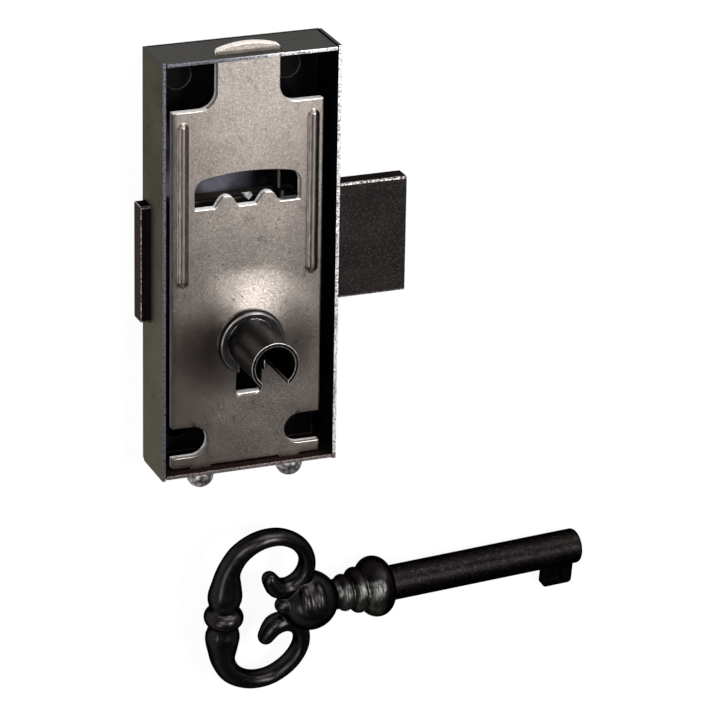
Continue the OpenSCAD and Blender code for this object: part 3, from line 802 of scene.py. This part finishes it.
def petal(name, back, round_axis):
    """Carved petal on the ball: drawn out round the key's axis and sunk for the most part."""
    turn = Matrix.Rotation(math.radians(round_axis - 90.0), 4, "X")
    lean = Matrix.Rotation(math.radians(back), 4, "Y")
    out = Matrix.Translation((0.0, 0.0, BALL_R + PETAL_PROUD - PETAL_DEPTH))
    place = Matrix.Translation((BALL_ALONG, 0.0, 0.0)) @ turn @ lean @ out
    return egg(name, place, (PETAL_HALF_WIDTH, PETAL_REACH, PETAL_DEPTH))


def draw_back_bead(piece):
    """Front half of the bead before the ball, drawn back towards the bead's middle."""
    from_key = key_frame()
    into_key = from_key.inverted()
    for point in piece.data.vertices:
        along, across, up = into_key @ point.co
        in_front = BEAD_FRONT < along < BEAD_ALONG
        if in_front and abs(across) < BEAD_HALF_WIDTH and abs(up) < BEAD_HALF_HEIGHT:
            drawn = BEAD_ALONG - (BEAD_ALONG - along) * BEAD_KEPT
            point.co = from_key @ Vector((drawn, across, up))


def carve_ball(piece):
    """Petals on both sides of the ball and the bud at its front, joined to the bow."""
    carved = []
    for round_axis in PETAL_ROUND:
        for back in PETAL_BACK:
            carved.append(petal(f"petal_{len(carved)}", back, round_axis))
    carved.append(egg("bud", Matrix.Translation(BUD_PLACE), BUD_HALF))
    iron = piece.data.materials[0]
    only(piece)
    for part in carved:
        part.select_set(True)
    bpy.ops.object.join()
    piece.data.materials.clear()
    piece.data.materials.append(iron)
    for face in piece.data.polygons:
        face.material_index = 0


def soften(piece, name, rounds, group=""):
    """Rounds of smoothing on the whole piece or on one group of its points."""
    ease = piece.modifiers.new(name, "SMOOTH")
    ease.factor = 0.5
    ease.iterations = rounds
    ease.vertex_group = group
    bpy.ops.object.modifier_apply(modifier=ease.name)


def cast_skin(piece):
    """One closed skin over the bow and its carving, with the bars smoothed round."""
    only(piece)
    piece.data.remesh_voxel_size = BOW_VOXEL * MM
    bpy.ops.object.voxel_remesh()
    into_key = key_frame().inverted()
    bars = piece.vertex_groups.new(name="bars")
    for point in piece.data.vertices:
        place = into_key @ point.co
        beside = abs(place.y)
        if beside > BARS_BESIDE and (place.x < BARS_BEFORE or beside > BARS_ROUND_BALL):
            bars.add([point.index], 1.0, "ADD")
    soften(piece, "whole", BOW_SMOOTHINGS)
    soften(piece, "bars", BARS_SMOOTHINGS, bars.name)
    thin = piece.modifiers.new("thin", "DECIMATE")
    thin.ratio = min(1.0, BOW_FACES / len(piece.data.polygons))
    bpy.ops.object.modifier_apply(modifier=thin.name)
    bpy.ops.object.shade_smooth()


def make_bow():
    """Cast scroll bow with its carved ball, its rings and its collar."""
    piece = dressed("key_bow", "bow_casting", [bow_iron()])
    draw_back_bead(piece)
    carve_ball(piece)
    cast_skin(piece)
    settle(piece, "key_bow", "key")


def make_shank():
    """Round shank with its bit."""
    piece = dressed("key_shank", "shank_and_bit", [shank_iron()])
    break_edges(piece, width=0.25, segments=3)
    settle(piece, "key_shank", "key")


# Floor, world and lamps

def rays_that_see(nodes):
    """1 for the rays that show the background: straight, mirrored or through glass."""
    straight = nodes.add("ShaderNodeLightPath", out="Is Camera Ray")
    mirrored = nodes.add("ShaderNodeLightPath", out="Is Glossy Ray")
    through = nodes.add("ShaderNodeLightPath", out="Is Transmission Ray")
    return (straight + mirrored + through).at_most(1.0)


def make_floor():
    """Plain pale floor that shows white and keeps a soft shadow; under the case it is painted near black
    as painted shade, a little less dark under the upper half.
    """
    bpy.ops.object.select_all(action="DESELECT")
    bpy.ops.mesh.primitive_plane_add(size=FLOOR_WIDTH, location=(0.0, 0.0, -FLOOR_DROP * MM))
    floor = bpy.context.object
    floor.name = "floor"
    bpy.ops.object.transform_apply(location=True, rotation=True, scale=True)
    f = Finish("floor_paper", Roughness=0.9, Specular_IOR_Level=0.0)
    place = f.place_mm()
    fibre = f.noise(place, 12.0, 3.0)
    along = f.part(place, "Y")
    in_width = f.step(abs(f.part(place, "X")), CASE_SIDE, CASE_SIDE - 0.2)
    in_length = f.step(abs(along), CASE_END + 0.1, CASE_END - 0.1)
    beside = 1.0 - in_width * in_length
    paper = f.mix(fibre, tone(244, 244, 244), tone(248, 248, 248))
    # Painted shade: the floor under the case is painted near black, a little less dark under its upper
    # half.
    under = f.mix(f.step(along, -5.0, 5.0), tone(2, 2, 3), tone(20, 19, 19))
    f.feed(Base_Color=f.mix(beside, under, paper))
    lit = Value(f, f.shader.outputs[0])
    glow = f.add("ShaderNodeEmission", sockets={"Strength": 1.0})
    both = f.add("ShaderNodeMixShader", sockets={0: rays_that_see(f) * beside * 0.9, 1: lit, 2: glow})
    f.join(both, f.tree.nodes["Material Output"].inputs["Surface"])
    floor.data.materials.append(f.material)


def set_world():
    """White studio round the lock, dimmer as a light than as a background."""
    world = bpy.data.worlds.new("studio")
    world.use_nodes = True
    bpy.context.scene.world = world
    w = Nodes(world.node_tree)
    background = world.node_tree.nodes["Background"]
    background.inputs["Color"].default_value = (1.0, 1.0, 1.0, 1.0)
    height = w.part(w.add("ShaderNodeTexCoord", out="Generated"), "Z")
    wall = WORLD_OVERHEAD + w.step(height, 0.5, 0.12) * (1.0 - WORLD_OVERHEAD)
    strength = WORLD_LIGHT + rays_that_see(w) * (1.0 - WORLD_LIGHT)
    w.join(strength * wall, background.inputs["Strength"])


def lamp(name, toward, distance, size, power, aim=(0.0, -10.0, 5.0), upright=False):
    """Soft box that shines on the lock from a direction, upright as the camera is where that is asked."""
    way = Vector(toward).normalized()
    data = bpy.data.lights.new(name, "AREA")
    data.shape = "RECTANGLE"
    data.size = size[0]
    data.size_y = size[1]
    data.energy = power
    box = bpy.data.objects.new(name, data)
    box.location = Vector(aim) * MM + way * distance
    camera = bpy.context.scene.camera
    box.rotation_euler = camera.rotation_euler if upright else way.to_track_quat("Z", "Y").to_euler()
    bpy.context.scene.collection.objects.link(box)


set_camera()
make_case()
make_plate()
make_tube()
make_stud()
make_bolt()
make_spring()
make_bow()
make_shank()
make_floor()
set_world()
lamp("plate_box", toward=(0.3288, -0.3196, 0.8885), distance=0.5, size=(0.10, 0.10), power=0.121,
     aim=(16.0, 60.0, 8.0))
lamp("low_box", toward=(0.3193, -0.3915, 0.8629), distance=0.9, size=(0.19, 0.19), power=0.02,
     aim=(0.0, -28.0, 8.0))
lamp("near_box", toward=(-0.39, 0.32, 0.863), distance=0.9, size=(0.45, 0.45), power=5.0)
lamp("left_box", toward=(-0.66, -0.23, 0.71), distance=0.9, size=(0.3, 0.3), power=2.4,
     aim=(10.0, -60.0, 7.0))
lamp("top_box", toward=(0.33, 0.85, 0.42), distance=0.9, size=(0.8, 0.4), power=6.5)
lamp("high_box", toward=(0.36, 0.2, 0.911), distance=0.9, size=(0.2, 0.36), power=7.5,
     aim=(10.0, -50.0, 7.0), upright=True)
bpy.context.scene.view_settings.view_transform = "Standard"

bpy.context.view_layer.update()
